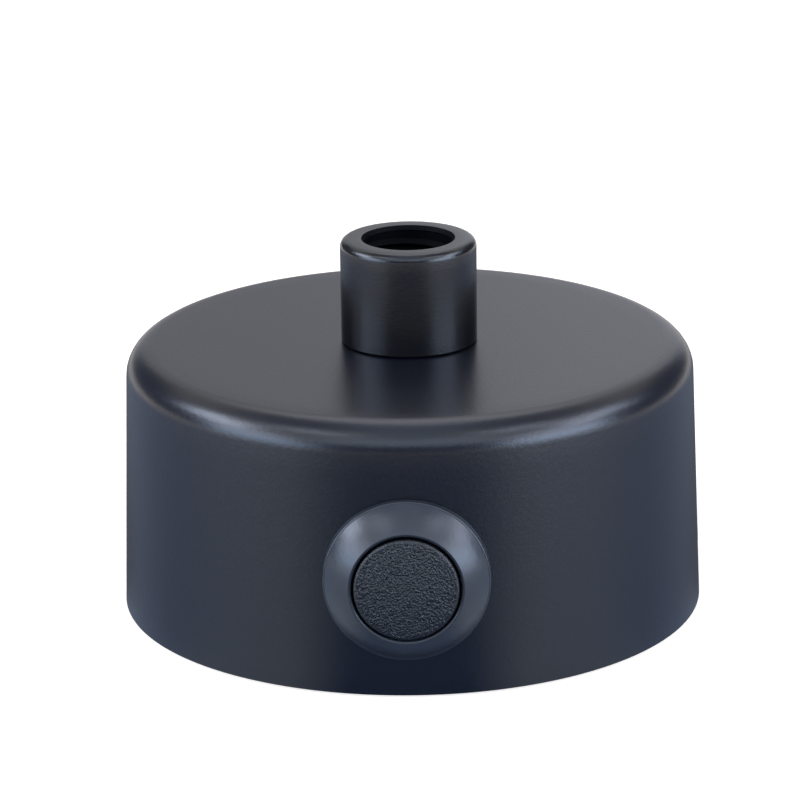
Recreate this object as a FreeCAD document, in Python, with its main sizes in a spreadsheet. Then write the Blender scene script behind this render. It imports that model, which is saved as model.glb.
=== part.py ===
import FreeCAD, Part
import math
import os

import Sketcher

# Ceiling rose: a steel canopy with a threaded collar and a push-button switch in its wall.
# It stands on its rim. The ceiling plane is z = 0, +Z runs up through the collar and the button faces -Y.
# Lengths are in millimetres and angles in degrees.
driving_sizes = {
    # canopy, a cup drawn from steel sheet
    "rim_radius": 32.5,
    "canopy_height": 29.7,
    "wall_draft": 1.9,
    "sheet_thickness": 1.0,
    "inner_bend_radius": 2.3,
    # collar on the canopy, threaded M10 x 1
    "collar_radius": 7.57,
    "collar_height": 11.7,
    "collar_edge_radius": 0.9,
    "collar_foot_chamfer": 0.2,
    "thread_radius": 5.0,
    "thread_depth": 0.54,
    "countersink_width": 0.74,
    "countersink_depth": 0.5,
    # hollow nipple that clamps the collar to the canopy
    "nipple_wall": 1.25,
    "nipple_length": 12.0,
    "nipple_in_collar": 5.5,
    "nipple_chamfer": 0.4,
    "nut_across_flats": 14.0,
    "nut_thickness": 3.0,
    "nut_chamfer": 0.45,
    "lock_washer_width": 2.9,
    "lock_washer_thickness": 0.8,
    "lock_tooth_depth": 1.1,
    "lock_tooth_width": 1.6,
    "tag_width": 6.3,
    "tag_ring_width": 2.4,
    "tag_thickness": 0.8,
    "tag_reach": 12.5,
    "tag_drop": 9.0,
    "tag_eye_radius": 0.8,
    # crossbar bracket, folded from steel strip
    "strip_thickness": 1.5,
    "strip_width": 12.0,
    "fold_radius": 0.8,
    "plate_lift": 4.0,
    "plate_length": 34.0,
    "plate_width": 24.0,
    "plate_corner_radius": 1.5,
    "ear_height": 11.0,
    "slot_spacing": 45.0,
    "slot_length": 9.0,
    "slot_width": 4.5,
    "supply_hole_radius": 5.0,
    "side_screw_height": 6.0,
    "side_screw_radius": 2.0,
    "side_screw_length": 4.8,
    "side_socket_across_flats": 2.0,
    "side_socket_depth": 2.0,
    # earth terminal on the bracket
    "earth_margin": 6.4,
    "earth_forward": 7.0,
    "earth_screw_radius": 2.0,
    "earth_screw_length": 6.0,
    "earth_head_radius": 3.8,
    "earth_head_height": 2.4,
    "earth_cup_thickness": 0.7,
    "earth_cup_rim": 0.8,
    "drive_slot_width": 0.8,
    "drive_slot_depth": 1.0,
    # terminal block behind the middle of the bracket
    "pole_pitch": 8.5,
    "pole_margin": 0.5,
    "block_width": 16.5,
    "block_wall_gap": 1.4,
    "block_height": 8.5,
    "block_corner_radius": 1.0,
    "tower_height": 13.0,
    "tower_radius": 2.9,
    "tower_spacing": 8.4,
    "sleeve_height": 5.3,
    "sleeve_radius": 2.1,
    "sleeve_bore_radius": 1.4,
    "sleeve_length": 14.0,
    "clamp_radius": 1.3,
    "clamp_length": 6.0,
    "clamp_lift": 0.5,
    "block_screw_radius": 1.5,
    "block_screw_length": 12.0,
    "block_head_radius": 2.7,
    "block_head_height": 1.8,
    # push-button switch, on an axis square to the wall
    "switch_height": 12.95,
    "bezel_radius": 8.88,
    "bezel_rim_lift": 0.55,
    "bezel_dome_height": 2.5,
    "bezel_dome_radius": 11.0,
    "bezel_lip_radius": 0.35,
    "bezel_bore_radius": 5.78,
    "web_depth": 3.2,
    "web_thickness": 1.0,
    "stem_radius": 3.2,
    "neck_radius": 6.75,
    "neck_length": 10.0,
    "neck_bore_radius": 5.3,
    "neck_chamfer": 0.4,
    "cap_proud": 0.35,
    "cap_crown": 0.4,
    "cap_edge_radius": 0.45,
    "cap_top_thickness": 1.2,
    "cap_skirt_length": 4.0,
    "cap_skirt_thickness": 1.0,
    "button_travel": 2.0,
    "cam_radius": 4.6,
    "plunger_head_length": 1.7,
    "rotor_length": 2.5,
    "cam_tooth_height": 0.8,
    "cam_tooth_width": 1.5,
    "cam_hub_radius": 1.5,
    "cam_hub_length": 1.0,
    "bridge_length": 9.0,
    "bridge_width": 2.6,
    "bridge_thickness": 0.5,
    "contact_radius": 0.5,
    "contact_height": 0.3,
    "contact_spacing": 7.2,
    "spring_radius": 2.0,
    "spring_wire_radius": 0.2,
    "spring_turns": 6.0,
    "base_radius": 6.2,
    "base_floor_thickness": 1.0,
    "base_spigot_length": 1.2,
    "base_chamfer": 0.5,
    "base_bore_radius": 4.8,
    "lug_thickness": 0.6,
    "lug_width": 2.6,
    "lug_outer_face": 4.2,
    "lug_pad_length": 1.2,
    "lug_tail_length": 4.5,
    "lug_eye_radius": 0.6,
    "gasket_radius": 8.5,
    "gasket_thickness": 0.8,
    "ring_nut_radius": 8.6,
    "ring_nut_thickness": 3.0,
    "ring_nut_grip_radius": 0.9,
    # clearances
    "thread_gap": 0.04,
    "hole_gap": 0.15,
    "seat_gap": 0.05,
    "slide_gap": 0.2,
    "stop_gap": 0.1,
}

doc = FreeCAD.newDocument("CeilingRose")
sheet = doc.addObject("Spreadsheet::Sheet", "Sizes")
for row, (name, number) in enumerate(driving_sizes.items(), start=1):
    sheet.set(f"A{row}", name)
    sheet.set(f"B{row}", str(number))
    sheet.setAlias(f"B{row}", name)
doc.recompute()


class Size:
    """A number together with the sheet formula that gives it."""

    def __init__(self, value, formula):
        self.value = value
        self.formula = formula

    def __add__(self, other):
        other = as_size(other)
        return Size(self.value + other.value, f"({self.formula} + {other.formula})")

    def __sub__(self, other):
        other = as_size(other)
        return Size(self.value - other.value, f"({self.formula} - {other.formula})")

    def __mul__(self, other):
        other = as_size(other)
        return Size(self.value * other.value, f"({self.formula} * {other.formula})")

    def __truediv__(self, other):
        other = as_size(other)
        return Size(self.value / other.value, f"({self.formula} / {other.formula})")

    def __radd__(self, other):
        return as_size(other) + self

    def __rsub__(self, other):
        return as_size(other) - self

    def __rmul__(self, other):
        return as_size(other) * self

    def __neg__(self):
        return 0 - self


def as_size(number):
    if isinstance(number, Size):
        return number
    return Size(float(number), f"({number})")


def root(size):
    return Size(math.sqrt(size.value), f"sqrt({size.formula})")


def sine(angle):
    return Size(math.sin(math.radians(angle.value)), f"sin({angle.formula})")


def cosine(angle):
    return Size(math.cos(math.radians(angle.value)), f"cos({angle.formula})")


def tangent(angle):
    return Size(math.tan(math.radians(angle.value)), f"tan({angle.formula})")


def on_sheet(name):
    return Size(float(driving_sizes[name]), f"Sizes.{name}")


def bind(item, place, size):
    """Ties one property of an object, or one constraint of a sketch, to its formula."""
    item.setExpression(place, as_size(size).formula)


def origin_part(body, role):
    return next(part for part in body.Origin.OriginFeatures if part.Role == role)


def new_body(label):
    body = doc.addObject("PartDesign::Body", label)
    body.Label = label
    return body


def new_sketch(body, role, name, lift=None):
    sketch = body.newObject("Sketcher::SketchObject", f"{body.Label}_{name}")
    sketch.AttachmentSupport = (origin_part(body, role), "")
    sketch.MapMode = "FlatFace"
    if lift is not None:
        bind(sketch, "AttachmentOffset.Base.z", lift)
    return sketch


def hold_point(sketch, edge, end, x, y):
    """Fixes one end of a sketch edge at (x, y)."""
    for kind, size in (("DistanceX", as_size(x)), ("DistanceY", as_size(y))):
        number = sketch.addConstraint(Sketcher.Constraint(kind, edge, end, size.value))
        bind(sketch, f"Constraints[{number}]", size)


def draw_outline(sketch, points):
    """Draws a closed outline. A point is (x, y), or (x, y, bend) where an arc of radius bend leaves it:
    counterclockwise where bend is positive and clockwise where it is negative."""
    spots = [(as_size(point[0]), as_size(point[1])) for point in points]
    ends = []
    for index, point in enumerate(points):
        here = FreeCAD.Vector(spots[index][0].value, spots[index][1].value, 0)
        following = spots[(index + 1) % len(points)]
        there = FreeCAD.Vector(following[0].value, following[1].value, 0)
        if len(point) == 2:
            edge = sketch.addGeometry(Part.LineSegment(here, there))
            ends.append((edge, 1, 2))
            continue
        bend = as_size(point[2])
        counterclockwise = bend.value > 0
        start, finish = (here, there) if counterclockwise else (there, here)
        chord = finish - start
        rise = math.sqrt(max(bend.value ** 2 - (chord.Length / 2) ** 2, 0))
        centre = (start + finish) / 2 + FreeCAD.Vector(-chord.y, chord.x, 0).normalize() * rise
        first = math.atan2(start.y - centre.y, start.x - centre.x)
        last = math.atan2(finish.y - centre.y, finish.x - centre.x)
        circle = Part.Circle(centre, FreeCAD.Vector(0, 0, 1), abs(bend.value))
        edge = sketch.addGeometry(Part.ArcOfCircle(circle, first, last))
        ends.append((edge, 1, 2) if counterclockwise else (edge, 2, 1))
        number = sketch.addConstraint(Sketcher.Constraint("Radius", edge, abs(bend.value)))
        bind(sketch, f"Constraints[{number}]", bend if counterclockwise else -bend)
    for index, (edge, start, finish) in enumerate(ends):
        following = ends[(index + 1) % len(ends)]
        sketch.addConstraint(Sketcher.Constraint("Coincident", edge, finish, following[0], following[1]))
        hold_point(sketch, edge, start, *spots[index])


def draw_circle(sketch, x, y, radius):
    centre = FreeCAD.Vector(as_size(x).value, as_size(y).value, 0)
    edge = sketch.addGeometry(Part.Circle(centre, FreeCAD.Vector(0, 0, 1), radius.value))
    number = sketch.addConstraint(Sketcher.Constraint("Radius", edge, radius.value))
    bind(sketch, f"Constraints[{number}]", radius)
    hold_point(sketch, edge, 3, x, y)


def round_corners(corners, radius):
    """Rounds the corners of an outline whose sides run along the axes, listed counterclockwise."""
    points = []
    for index, (x, y) in enumerate(corners):
        before = corners[index - 1]
        after = corners[(index + 1) % len(corners)]
        into = axis_direction(before, (x, y))
        out = axis_direction((x, y), after)
        turns_left = into[0] * out[1] - into[1] * out[0] > 0
        points.append((x - radius * into[0], y - radius * into[1], radius if turns_left else -radius))
        points.append((x + radius * out[0], y + radius * out[1]))
    return points


def axis_direction(start, finish):
    run = [as_size(finish[axis]).value - as_size(start[axis]).value for axis in (0, 1)]
    return [(length > 1e-9) - (length < -1e-9) for length in run]


def rectangle(low_x, low_y, high_x, high_y):
    return [(low_x, low_y), (high_x, low_y), (high_x, high_y), (low_x, high_y)]


def mirror_outline(points):
    """Continues the right half of an outline with its mirror image; arcs keep their sense of turn."""
    mirrored = []
    for index in range(len(points) - 1, -1, -1):
        x, y = points[index][0], points[index][1]
        arc_before = index > 0 and len(points[index - 1]) == 3
        mirrored.append((-x, y, points[index - 1][2]) if arc_before else (-x, y))
    return points + mirrored


def set_up(body, feature, profile):
    feature.Profile = profile
    profile.Visibility = False
    body.Tip = feature
    return feature


def revolve(body, name, points, kind="PartDesign::Revolution"):
    """Turns an outline drawn in the XZ plane about the Z axis; as a groove it cuts instead."""
    sketch = new_sketch(body, "XZ_Plane", f"{name}_profile")
    draw_outline(sketch, points)
    feature = set_up(body, body.newObject(kind, f"{body.Label}_{name}"), sketch)
    feature.ReferenceAxis = (sketch, ["V_Axis"])
    feature.Angle = 360
    return feature


def pad(body, name, sketch, length, both_sides=False):
    feature = set_up(body, body.newObject("PartDesign::Pad", f"{body.Label}_{name}"), sketch)
    feature.SideType = "Symmetric" if both_sides else "One side"
    bind(feature, "Length", length)
    return feature


def pocket(body, name, sketch, depth=None, reverse=False, both_sides=False):
    """Cuts a sketch away, right through where no depth is given."""
    feature = set_up(body, body.newObject("PartDesign::Pocket", f"{body.Label}_{name}"), sketch)
    feature.SideType = "Symmetric" if both_sides else "One side"
    feature.Reversed = reverse
    if depth is None:
        feature.Type = "ThroughAll"
    else:
        bind(feature, "Length", depth)
    return feature


def ring_pattern(body, name, features, count):
    pattern = body.newObject("PartDesign::PolarPattern", f"{body.Label}_{name}")
    pattern.Originals = features
    pattern.Axis = (origin_part(body, "Z_Axis"), [""])
    pattern.Angle = 360
    pattern.Occurrences = count
    body.Tip = pattern
    return pattern


def row_pattern(body, name, features, role, length, count):
    pattern = body.newObject("PartDesign::LinearPattern", f"{body.Label}_{name}")
    pattern.Originals = features
    pattern.Direction = (origin_part(body, role), [""])
    bind(pattern, "Length", length)
    pattern.Occurrences = count
    body.Tip = pattern
    return pattern


def mirror_pattern(body, name, features):
    """Repeats features on the other side of the YZ plane."""
    pattern = body.newObject("PartDesign::Mirrored", f"{body.Label}_{name}")
    pattern.Originals = features
    pattern.MirrorPlane = (origin_part(body, "YZ_Plane"), [""])
    body.Tip = pattern
    return pattern


def place(body, x=0, y=0, z=0, rotation=None):
    if rotation is not None:
        body.Placement = FreeCAD.Placement(FreeCAD.Vector(), rotation)
    bind(body, "Placement.Base.x", x)
    bind(body, "Placement.Base.y", y)
    bind(body, "Placement.Base.z", z)


def hexagon(across_flats):
    """Corners of a hexagon with two corners on the X axis."""
    corner = across_flats / root(as_size(3))
    flat = across_flats / 2
    return [(corner, 0), (corner / 2, flat), (-corner / 2, flat),
            (-corner, 0), (-corner / 2, -flat), (corner / 2, -flat)]


# Canopy wall
rim_radius = on_sheet("rim_radius")
canopy_height = on_sheet("canopy_height")
wall_draft = on_sheet("wall_draft")
sheet_thickness = on_sheet("sheet_thickness")
edge_radius = on_sheet("inner_bend_radius") + sheet_thickness
ceiling_underside = canopy_height - sheet_thickness
inner_rim_radius = rim_radius - sheet_thickness / cosine(wall_draft)


def wall_radius(height):
    """Outer radius of the canopy wall at a height."""
    return rim_radius - height * tangent(wall_draft)


def inner_wall_radius(height):
    return inner_rim_radius - height * tangent(wall_draft)


# Clearances
thread_gap = on_sheet("thread_gap")
hole_gap = on_sheet("hole_gap")
seat_gap = on_sheet("seat_gap")
slide_gap = on_sheet("slide_gap")
stop_gap = on_sheet("stop_gap")

# Stack on the collar's axis, from the collar down
thread_radius = on_sheet("thread_radius")
collar_radius = on_sheet("collar_radius")
collar_top = canopy_height + on_sheet("collar_height")
nipple_top = canopy_height + on_sheet("nipple_in_collar")
nipple_length = on_sheet("nipple_length")
axis_hole_radius = thread_radius + hole_gap
lock_washer_bottom = ceiling_underside - on_sheet("lock_washer_thickness")
tag_thickness = on_sheet("tag_thickness")
tag_bottom = lock_washer_bottom - tag_thickness
nut_thickness = on_sheet("nut_thickness")
nut_bottom = tag_bottom - nut_thickness

# Bracket
strip_thickness = on_sheet("strip_thickness")
strip_width = on_sheet("strip_width")
plate_bottom = on_sheet("plate_lift")
plate_top = plate_bottom + strip_thickness
plate_end = on_sheet("plate_length") / 2
side_screw_height = on_sheet("side_screw_height")
side_screw_radius = on_sheet("side_screw_radius")
earth_x = plate_end - on_sheet("earth_margin")
earth_y = -on_sheet("earth_forward")
ear_height = on_sheet("ear_height")
ear_room = inner_wall_radius(ear_height)
ear_face = root(ear_room * ear_room - strip_width * strip_width / 4) - hole_gap

# Terminal block
poles = 3
pole_pitch = on_sheet("pole_pitch")
block_length = pole_pitch * poles + on_sheet("pole_margin") * 2
block_width = on_sheet("block_width")
block_room = inner_wall_radius(plate_top + on_sheet("tower_height"))
block_back = root(block_room * block_room - block_length * block_length / 4) - on_sheet("block_wall_gap")
block_middle = block_back - block_width / 2
block_top = plate_top + on_sheet("block_height")
sleeve_radius = on_sheet("sleeve_radius")
sleeve_height = plate_top + on_sheet("sleeve_height")
tower_spacing = on_sheet("tower_spacing")
clamp_radius = on_sheet("clamp_radius")
block_screw_radius = on_sheet("block_screw_radius")

# Switch. Its pieces are drawn about their own Z axis, which points out of the wall,
# with zero at the wall's outer face, and are then turned towards -Y.
switch_height = on_sheet("switch_height")
switch_wall = wall_radius(switch_height)
facing_out = FreeCAD.Rotation(FreeCAD.Vector(1, 0, 0), 90)
neck_radius = on_sheet("neck_radius")
neck_end = -on_sheet("neck_length")
bezel_radius = on_sheet("bezel_radius")
bezel_bore_radius = on_sheet("bezel_bore_radius")
bezel_front = on_sheet("bezel_rim_lift") + on_sheet("bezel_dome_height")
web_front = -on_sheet("web_depth")
web_back = web_front - on_sheet("web_thickness")
stem_radius = on_sheet("stem_radius")
cap_radius = bezel_bore_radius - slide_gap
cap_edge = bezel_front + on_sheet("cap_proud")
cap_ceiling = cap_edge - on_sheet("cap_top_thickness")
cam_radius = on_sheet("cam_radius")
plunger_shoulder = web_back - stop_gap
plunger_back = plunger_shoulder - on_sheet("plunger_head_length")
rotor_front = plunger_back - stop_gap
rotor_back = rotor_front - on_sheet("rotor_length")
cam_hub_radius = on_sheet("cam_hub_radius")
cam_hub_end = rotor_back - on_sheet("cam_hub_length")
cam_teeth = 8
cam_tooth_height = on_sheet("cam_tooth_height")
cam_tooth_width = on_sheet("cam_tooth_width")
bridge_back = rotor_back - on_sheet("bridge_thickness")
contact_tip = bridge_back - on_sheet("contact_height")
lug_pad_front = contact_tip - on_sheet("button_travel") - stop_gap
base_bore_radius = on_sheet("base_bore_radius")
base_floor = lug_pad_front - on_sheet("lug_pad_length") * 2 - on_sheet("lug_thickness") * 2
base_back = base_floor - on_sheet("base_floor_thickness")
lug_end = base_back - on_sheet("lug_tail_length")
gasket_radius = on_sheet("gasket_radius")
switch_inner_wall = inner_wall_radius(switch_height)
gasket_front = (root(switch_inner_wall * switch_inner_wall - gasket_radius * gasket_radius)
                - switch_wall - seat_gap)
gasket_back = gasket_front - on_sheet("gasket_thickness")
ring_nut_back = gasket_back - on_sheet("ring_nut_thickness")


def canopy():
    body = new_body("canopy")
    bend = edge_radius
    inner_bend = on_sheet("inner_bend_radius")
    bend_z = canopy_height - bend
    bend_x = rim_radius - (bend + bend_z * sine(wall_draft)) / cosine(wall_draft)

    def on_wall(radius):
        return bend_x + radius * cosine(wall_draft), bend_z + radius * sine(wall_draft)

    revolve(body, "cup", [
        (inner_rim_radius, 0),
        (rim_radius, 0),
        (*on_wall(bend), bend),
        (bend_x, canopy_height),
        (axis_hole_radius, canopy_height),
        (axis_hole_radius, ceiling_underside),
        (bend_x, ceiling_underside, -inner_bend),
        on_wall(inner_bend),
    ])
    switch_hole = new_sketch(body, "XZ_Plane", "switch_hole_profile")
    draw_circle(switch_hole, 0, switch_height, neck_radius + hole_gap)
    pocket(body, "switch_hole", switch_hole, reverse=True)
    screw_holes = new_sketch(body, "YZ_Plane", "screw_holes_profile")
    draw_circle(screw_holes, 0, side_screw_height, side_screw_radius + hole_gap)
    pocket(body, "screw_holes", screw_holes, both_sides=True)
    return body


def collar():
    body = new_body("collar")
    edge = on_sheet("collar_edge_radius")
    chamfer = on_sheet("collar_foot_chamfer")
    minor_radius = thread_radius - on_sheet("thread_depth")
    mouth = minor_radius + on_sheet("countersink_width")
    revolve(body, "turned", [
        (thread_radius + thread_gap, canopy_height),
        (collar_radius - chamfer, canopy_height),
        (collar_radius, canopy_height + chamfer),
        (collar_radius, collar_top - edge, edge),
        (collar_radius - edge, collar_top),
        (mouth, collar_top),
        (minor_radius, collar_top - on_sheet("countersink_depth")),
        (minor_radius, nipple_top),
        (thread_radius + thread_gap, nipple_top),
    ])
    return body


def nipple():
    body = new_body("nipple")
    chamfer = on_sheet("nipple_chamfer")
    bore = thread_radius - on_sheet("nipple_wall")
    bottom = nipple_top - nipple_length
    revolve(body, "tube", [
        (bore, bottom),
        (thread_radius - chamfer, bottom),
        (thread_radius, bottom + chamfer),
        (thread_radius, nipple_top - chamfer),
        (thread_radius - chamfer, nipple_top),
        (bore, nipple_top),
    ])
    return body


def nipple_nut():
    body = new_body("nipple_nut")
    across_flats = on_sheet("nut_across_flats")
    chamfer = on_sheet("nut_chamfer")
    reach = across_flats / root(as_size(3))
    blank = new_sketch(body, "XY_Plane", "blank_profile", lift=nut_bottom)
    draw_outline(blank, hexagon(across_flats))
    draw_circle(blank, 0, 0, thread_radius + thread_gap)
    pad(body, "blank", blank, nut_thickness)
    nut_top = nut_bottom + nut_thickness
    revolve(body, "corner_chamfer", [
        (across_flats / 2, nut_bottom),
        (reach + chamfer, nut_bottom - chamfer),
        (reach + chamfer, nut_bottom + chamfer),
    ], kind="PartDesign::Groove")
    revolve(body, "top_chamfer", [
        (across_flats / 2, nut_top),
        (reach + chamfer, nut_top - chamfer),
        (reach + chamfer, nut_top + chamfer),
    ], kind="PartDesign::Groove")
    return body


def lock_washer():
    body = new_body("lock_washer")
    outer = axis_hole_radius + on_sheet("lock_washer_width")
    half_notch = on_sheet("lock_tooth_width") / 2
    root_radius = outer - on_sheet("lock_tooth_depth")
    thickness = on_sheet("lock_washer_thickness")
    ring = new_sketch(body, "XY_Plane", "ring_profile", lift=lock_washer_bottom)
    draw_circle(ring, 0, 0, outer)
    draw_circle(ring, 0, 0, axis_hole_radius)
    pad(body, "ring", ring, thickness)
    notch = new_sketch(body, "XY_Plane", "notch_profile", lift=lock_washer_bottom + thickness)
    mouth = outer + half_notch
    draw_outline(notch, [(root_radius, 0), (mouth, -half_notch), (mouth, half_notch)])
    ring_pattern(body, "teeth", [pocket(body, "notch", notch)], 12)
    return body


def earth_tag():
    body = new_body("earth_tag")
    width = on_sheet("tag_width")
    fold = on_sheet("fold_radius")
    reach = on_sheet("tag_reach")
    drop_end = lock_washer_bottom - on_sheet("tag_drop")
    ring_radius = axis_hole_radius + on_sheet("tag_ring_width")
    ring = new_sketch(body, "XY_Plane", "ring_profile", lift=tag_bottom)
    draw_circle(ring, 0, 0, ring_radius)
    draw_circle(ring, 0, 0, axis_hole_radius)
    pad(body, "ring", ring, tag_thickness)
    blade = new_sketch(body, "XZ_Plane", "blade_profile")
    draw_outline(blade, [
        (ring_radius - on_sheet("tag_ring_width") / 2, tag_bottom),
        (reach - tag_thickness - fold, tag_bottom, -fold),
        (reach - tag_thickness, tag_bottom - fold),
        (reach - tag_thickness, drop_end),
        (reach, drop_end),
        (reach, tag_bottom - fold, fold + tag_thickness),
        (reach - tag_thickness - fold, lock_washer_bottom),
        (ring_radius - on_sheet("tag_ring_width") / 2, lock_washer_bottom),
    ])
    pad(body, "blade", blade, width, both_sides=True)
    eye = new_sketch(body, "YZ_Plane", "eye_profile")
    draw_circle(eye, 0, drop_end + width / 2, on_sheet("tag_eye_radius"))
    pocket(body, "eye", eye, reverse=True)
    return body


def bracket():
    """Strip folded into two feet, two risers, a raised plate and an upturned ear at each end."""
    body = new_body("bracket")
    thick = strip_thickness
    fold = on_sheet("fold_radius")
    outer_fold = fold + thick
    foot_start = plate_end + fold
    ear_start = ear_face - outer_fold
    right_half = [
        (plate_end - thick - fold, plate_bottom, -fold),
        (plate_end - thick, plate_bottom - fold),
        (plate_end - thick, outer_fold, outer_fold),
        (foot_start, 0),
        (ear_start, 0, outer_fold),
        (ear_face, outer_fold),
        (ear_face, ear_height),
        (ear_face - thick, ear_height),
        (ear_face - thick, outer_fold, -fold),
        (ear_start, thick),
        (foot_start, thick, -fold),
        (plate_end, outer_fold),
        (plate_end, plate_top - outer_fold, outer_fold),
        (plate_end - outer_fold, plate_top),
    ]
    strip = new_sketch(body, "XZ_Plane", "strip_profile")
    draw_outline(strip, mirror_outline(right_half))
    pad(body, "strip", strip, strip_width, both_sides=True)
    side = plate_end - thick - fold
    front = -on_sheet("plate_width") / 2
    shelf = block_length / 2
    plate = new_sketch(body, "XY_Plane", "plate_profile", lift=plate_bottom)
    draw_outline(plate, round_corners([
        (-side, front), (side, front), (side, -front), (shelf, -front),
        (shelf, block_back), (-shelf, block_back), (-shelf, -front), (-side, -front),
    ], on_sheet("plate_corner_radius")))
    pad(body, "plate", plate, thick)
    holes = new_sketch(body, "XY_Plane", "plate_holes_profile", lift=plate_top)
    draw_circle(holes, 0, 0, on_sheet("supply_hole_radius"))
    draw_circle(holes, earth_x, earth_y, on_sheet("earth_screw_radius") + thread_gap)
    for offset in (-pole_pitch / 2, pole_pitch / 2):
        draw_circle(holes, offset, block_middle, block_screw_radius + thread_gap)
    pocket(body, "plate_holes", holes)
    slots = new_sketch(body, "XY_Plane", "slots_profile", lift=thick)
    slot_ends = new_sketch(body, "XY_Plane", "slot_ends_profile", lift=thick)
    half_width = on_sheet("slot_width") / 2
    run = on_sheet("slot_length") / 2 - half_width
    for centre in (-on_sheet("slot_spacing") / 2, on_sheet("slot_spacing") / 2):
        draw_outline(slots, rectangle(centre - run, -half_width, centre + run, half_width))
        draw_circle(slot_ends, centre - run, 0, half_width)
        draw_circle(slot_ends, centre + run, 0, half_width)
    pocket(body, "slots", slots)
    pocket(body, "slot_ends", slot_ends)
    tap = new_sketch(body, "YZ_Plane", "ear_tap_profile", lift=ear_face)
    draw_circle(tap, 0, side_screw_height, side_screw_radius + thread_gap)
    mirror_pattern(body, "ear_taps", [pocket(body, "ear_tap", tap, thick)])
    return body


def canopy_screws():
    """Two headless screws with hexagon sockets, one each side, through the canopy wall into the ears."""
    body = new_body("canopy_screws")
    length = on_sheet("side_screw_length")
    start = wall_radius(side_screw_height + side_screw_radius) - length
    blank = new_sketch(body, "YZ_Plane", "blank_profile", lift=start)
    draw_circle(blank, 0, side_screw_height, side_screw_radius)
    shank = pad(body, "shank", blank, length)
    socket = new_sketch(body, "YZ_Plane", "socket_profile", lift=start + length)
    corners = hexagon(on_sheet("side_socket_across_flats"))
    draw_outline(socket, [(x, y + side_screw_height) for x, y in corners])
    recess = pocket(body, "socket", socket, on_sheet("side_socket_depth"))
    mirror_pattern(body, "pair", [shank, recess])
    return body


def slotted_screw(label, radius, length, head_radius, head_height):
    """Pan-head screw with its head's underside at z = 0."""
    body = new_body(label)
    shoulder = head_height / 3
    crown = head_height - shoulder
    revolve(body, "turned", [
        (0, -length),
        (radius - radius / 5, -length),
        (radius, -length + radius / 5),
        (radius, 0),
        (head_radius, 0),
        (head_radius, shoulder),
        (head_radius - crown, head_height),
        (0, head_height),
    ])
    slot = new_sketch(body, "XY_Plane", "slot_profile", lift=head_height)
    half_slot = on_sheet("drive_slot_width") / 2
    draw_outline(slot, rectangle(-half_slot, -head_radius, half_slot, head_radius))
    pocket(body, "slot", slot, on_sheet("drive_slot_depth"))
    return body


def earth_screw():
    body = slotted_screw("earth_screw", on_sheet("earth_screw_radius"), on_sheet("earth_screw_length"),
                         on_sheet("earth_head_radius"), on_sheet("earth_head_height"))
    place(body, earth_x, earth_y, plate_top + on_sheet("earth_cup_thickness"))
    return body


def earth_cup():
    """Cup washer whose rim keeps the earth wire under the screw's head."""
    body = new_body("earth_cup")
    thickness = on_sheet("earth_cup_thickness")
    rim = on_sheet("earth_cup_rim")
    bore = on_sheet("earth_screw_radius") + hole_gap
    floor = on_sheet("earth_head_radius") + stop_gap
    revolve(body, "pressed", [
        (bore, 0),
        (floor, 0),
        (floor + rim, rim),
        (floor + rim, rim + thickness),
        (floor, thickness),
        (bore, thickness),
    ])
    place(body, earth_x, earth_y, plate_top)
    return body


def terminal_housing():
    body = new_body("terminal_housing")
    half_length = block_length / 2
    block = new_sketch(body, "XY_Plane", "block_profile")
    draw_outline(block, round_corners(
        rectangle(-half_length, -block_width / 2, half_length, block_width / 2),
        on_sheet("block_corner_radius")))
    height = on_sheet("block_height")
    pad(body, "block", block, height)
    towers = new_sketch(body, "XY_Plane", "towers_profile")
    wells = new_sketch(body, "XY_Plane", "wells_profile", lift=on_sheet("tower_height"))
    for pole in range(poles):
        x = pole_pitch * (pole - (poles - 1) / 2)
        for y in (-tower_spacing / 2, tower_spacing / 2):
            draw_circle(towers, x, y, on_sheet("tower_radius"))
            draw_circle(wells, x, y, clamp_radius + slide_gap)
    pad(body, "towers", towers, on_sheet("tower_height"))
    pocket(body, "wells", wells, on_sheet("tower_height") - on_sheet("sleeve_height"))
    bores = new_sketch(body, "XZ_Plane", "bores_profile")
    for pole in range(poles):
        x = pole_pitch * (pole - (poles - 1) / 2)
        draw_circle(bores, x, on_sheet("sleeve_height"), sleeve_radius + seat_gap)
    pocket(body, "bores", bores, both_sides=True)
    fixings = new_sketch(body, "XY_Plane", "fixings_profile", lift=height)
    for x in (-pole_pitch / 2, pole_pitch / 2):
        draw_circle(fixings, x, 0, block_screw_radius + hole_gap)
    pocket(body, "fixings", fixings)
    place(body, 0, block_middle, plate_top)
    return body


def terminal_sleeves():
    """Three brass sleeves, each with a tapped hole above either end for a clamp screw."""
    body = new_body("terminal_sleeves")
    first = -pole_pitch * (poles - 1) / 2
    tube = new_sketch(body, "XZ_Plane", "tube_profile")
    draw_circle(tube, first, sleeve_height, sleeve_radius)
    draw_circle(tube, first, sleeve_height, on_sheet("sleeve_bore_radius"))
    sleeve = pad(body, "tube", tube, on_sheet("sleeve_length"), both_sides=True)
    taps = new_sketch(body, "XY_Plane", "taps_profile", lift=sleeve_height + sleeve_radius)
    for y in (-tower_spacing / 2, tower_spacing / 2):
        draw_circle(taps, first, y, clamp_radius + thread_gap)
    tapped = pocket(body, "taps", taps, sleeve_radius)
    row_pattern(body, "row", [sleeve, tapped], "X_Axis", pole_pitch * (poles - 1), poles)
    place(body, 0, block_middle, 0)
    return body


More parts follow.
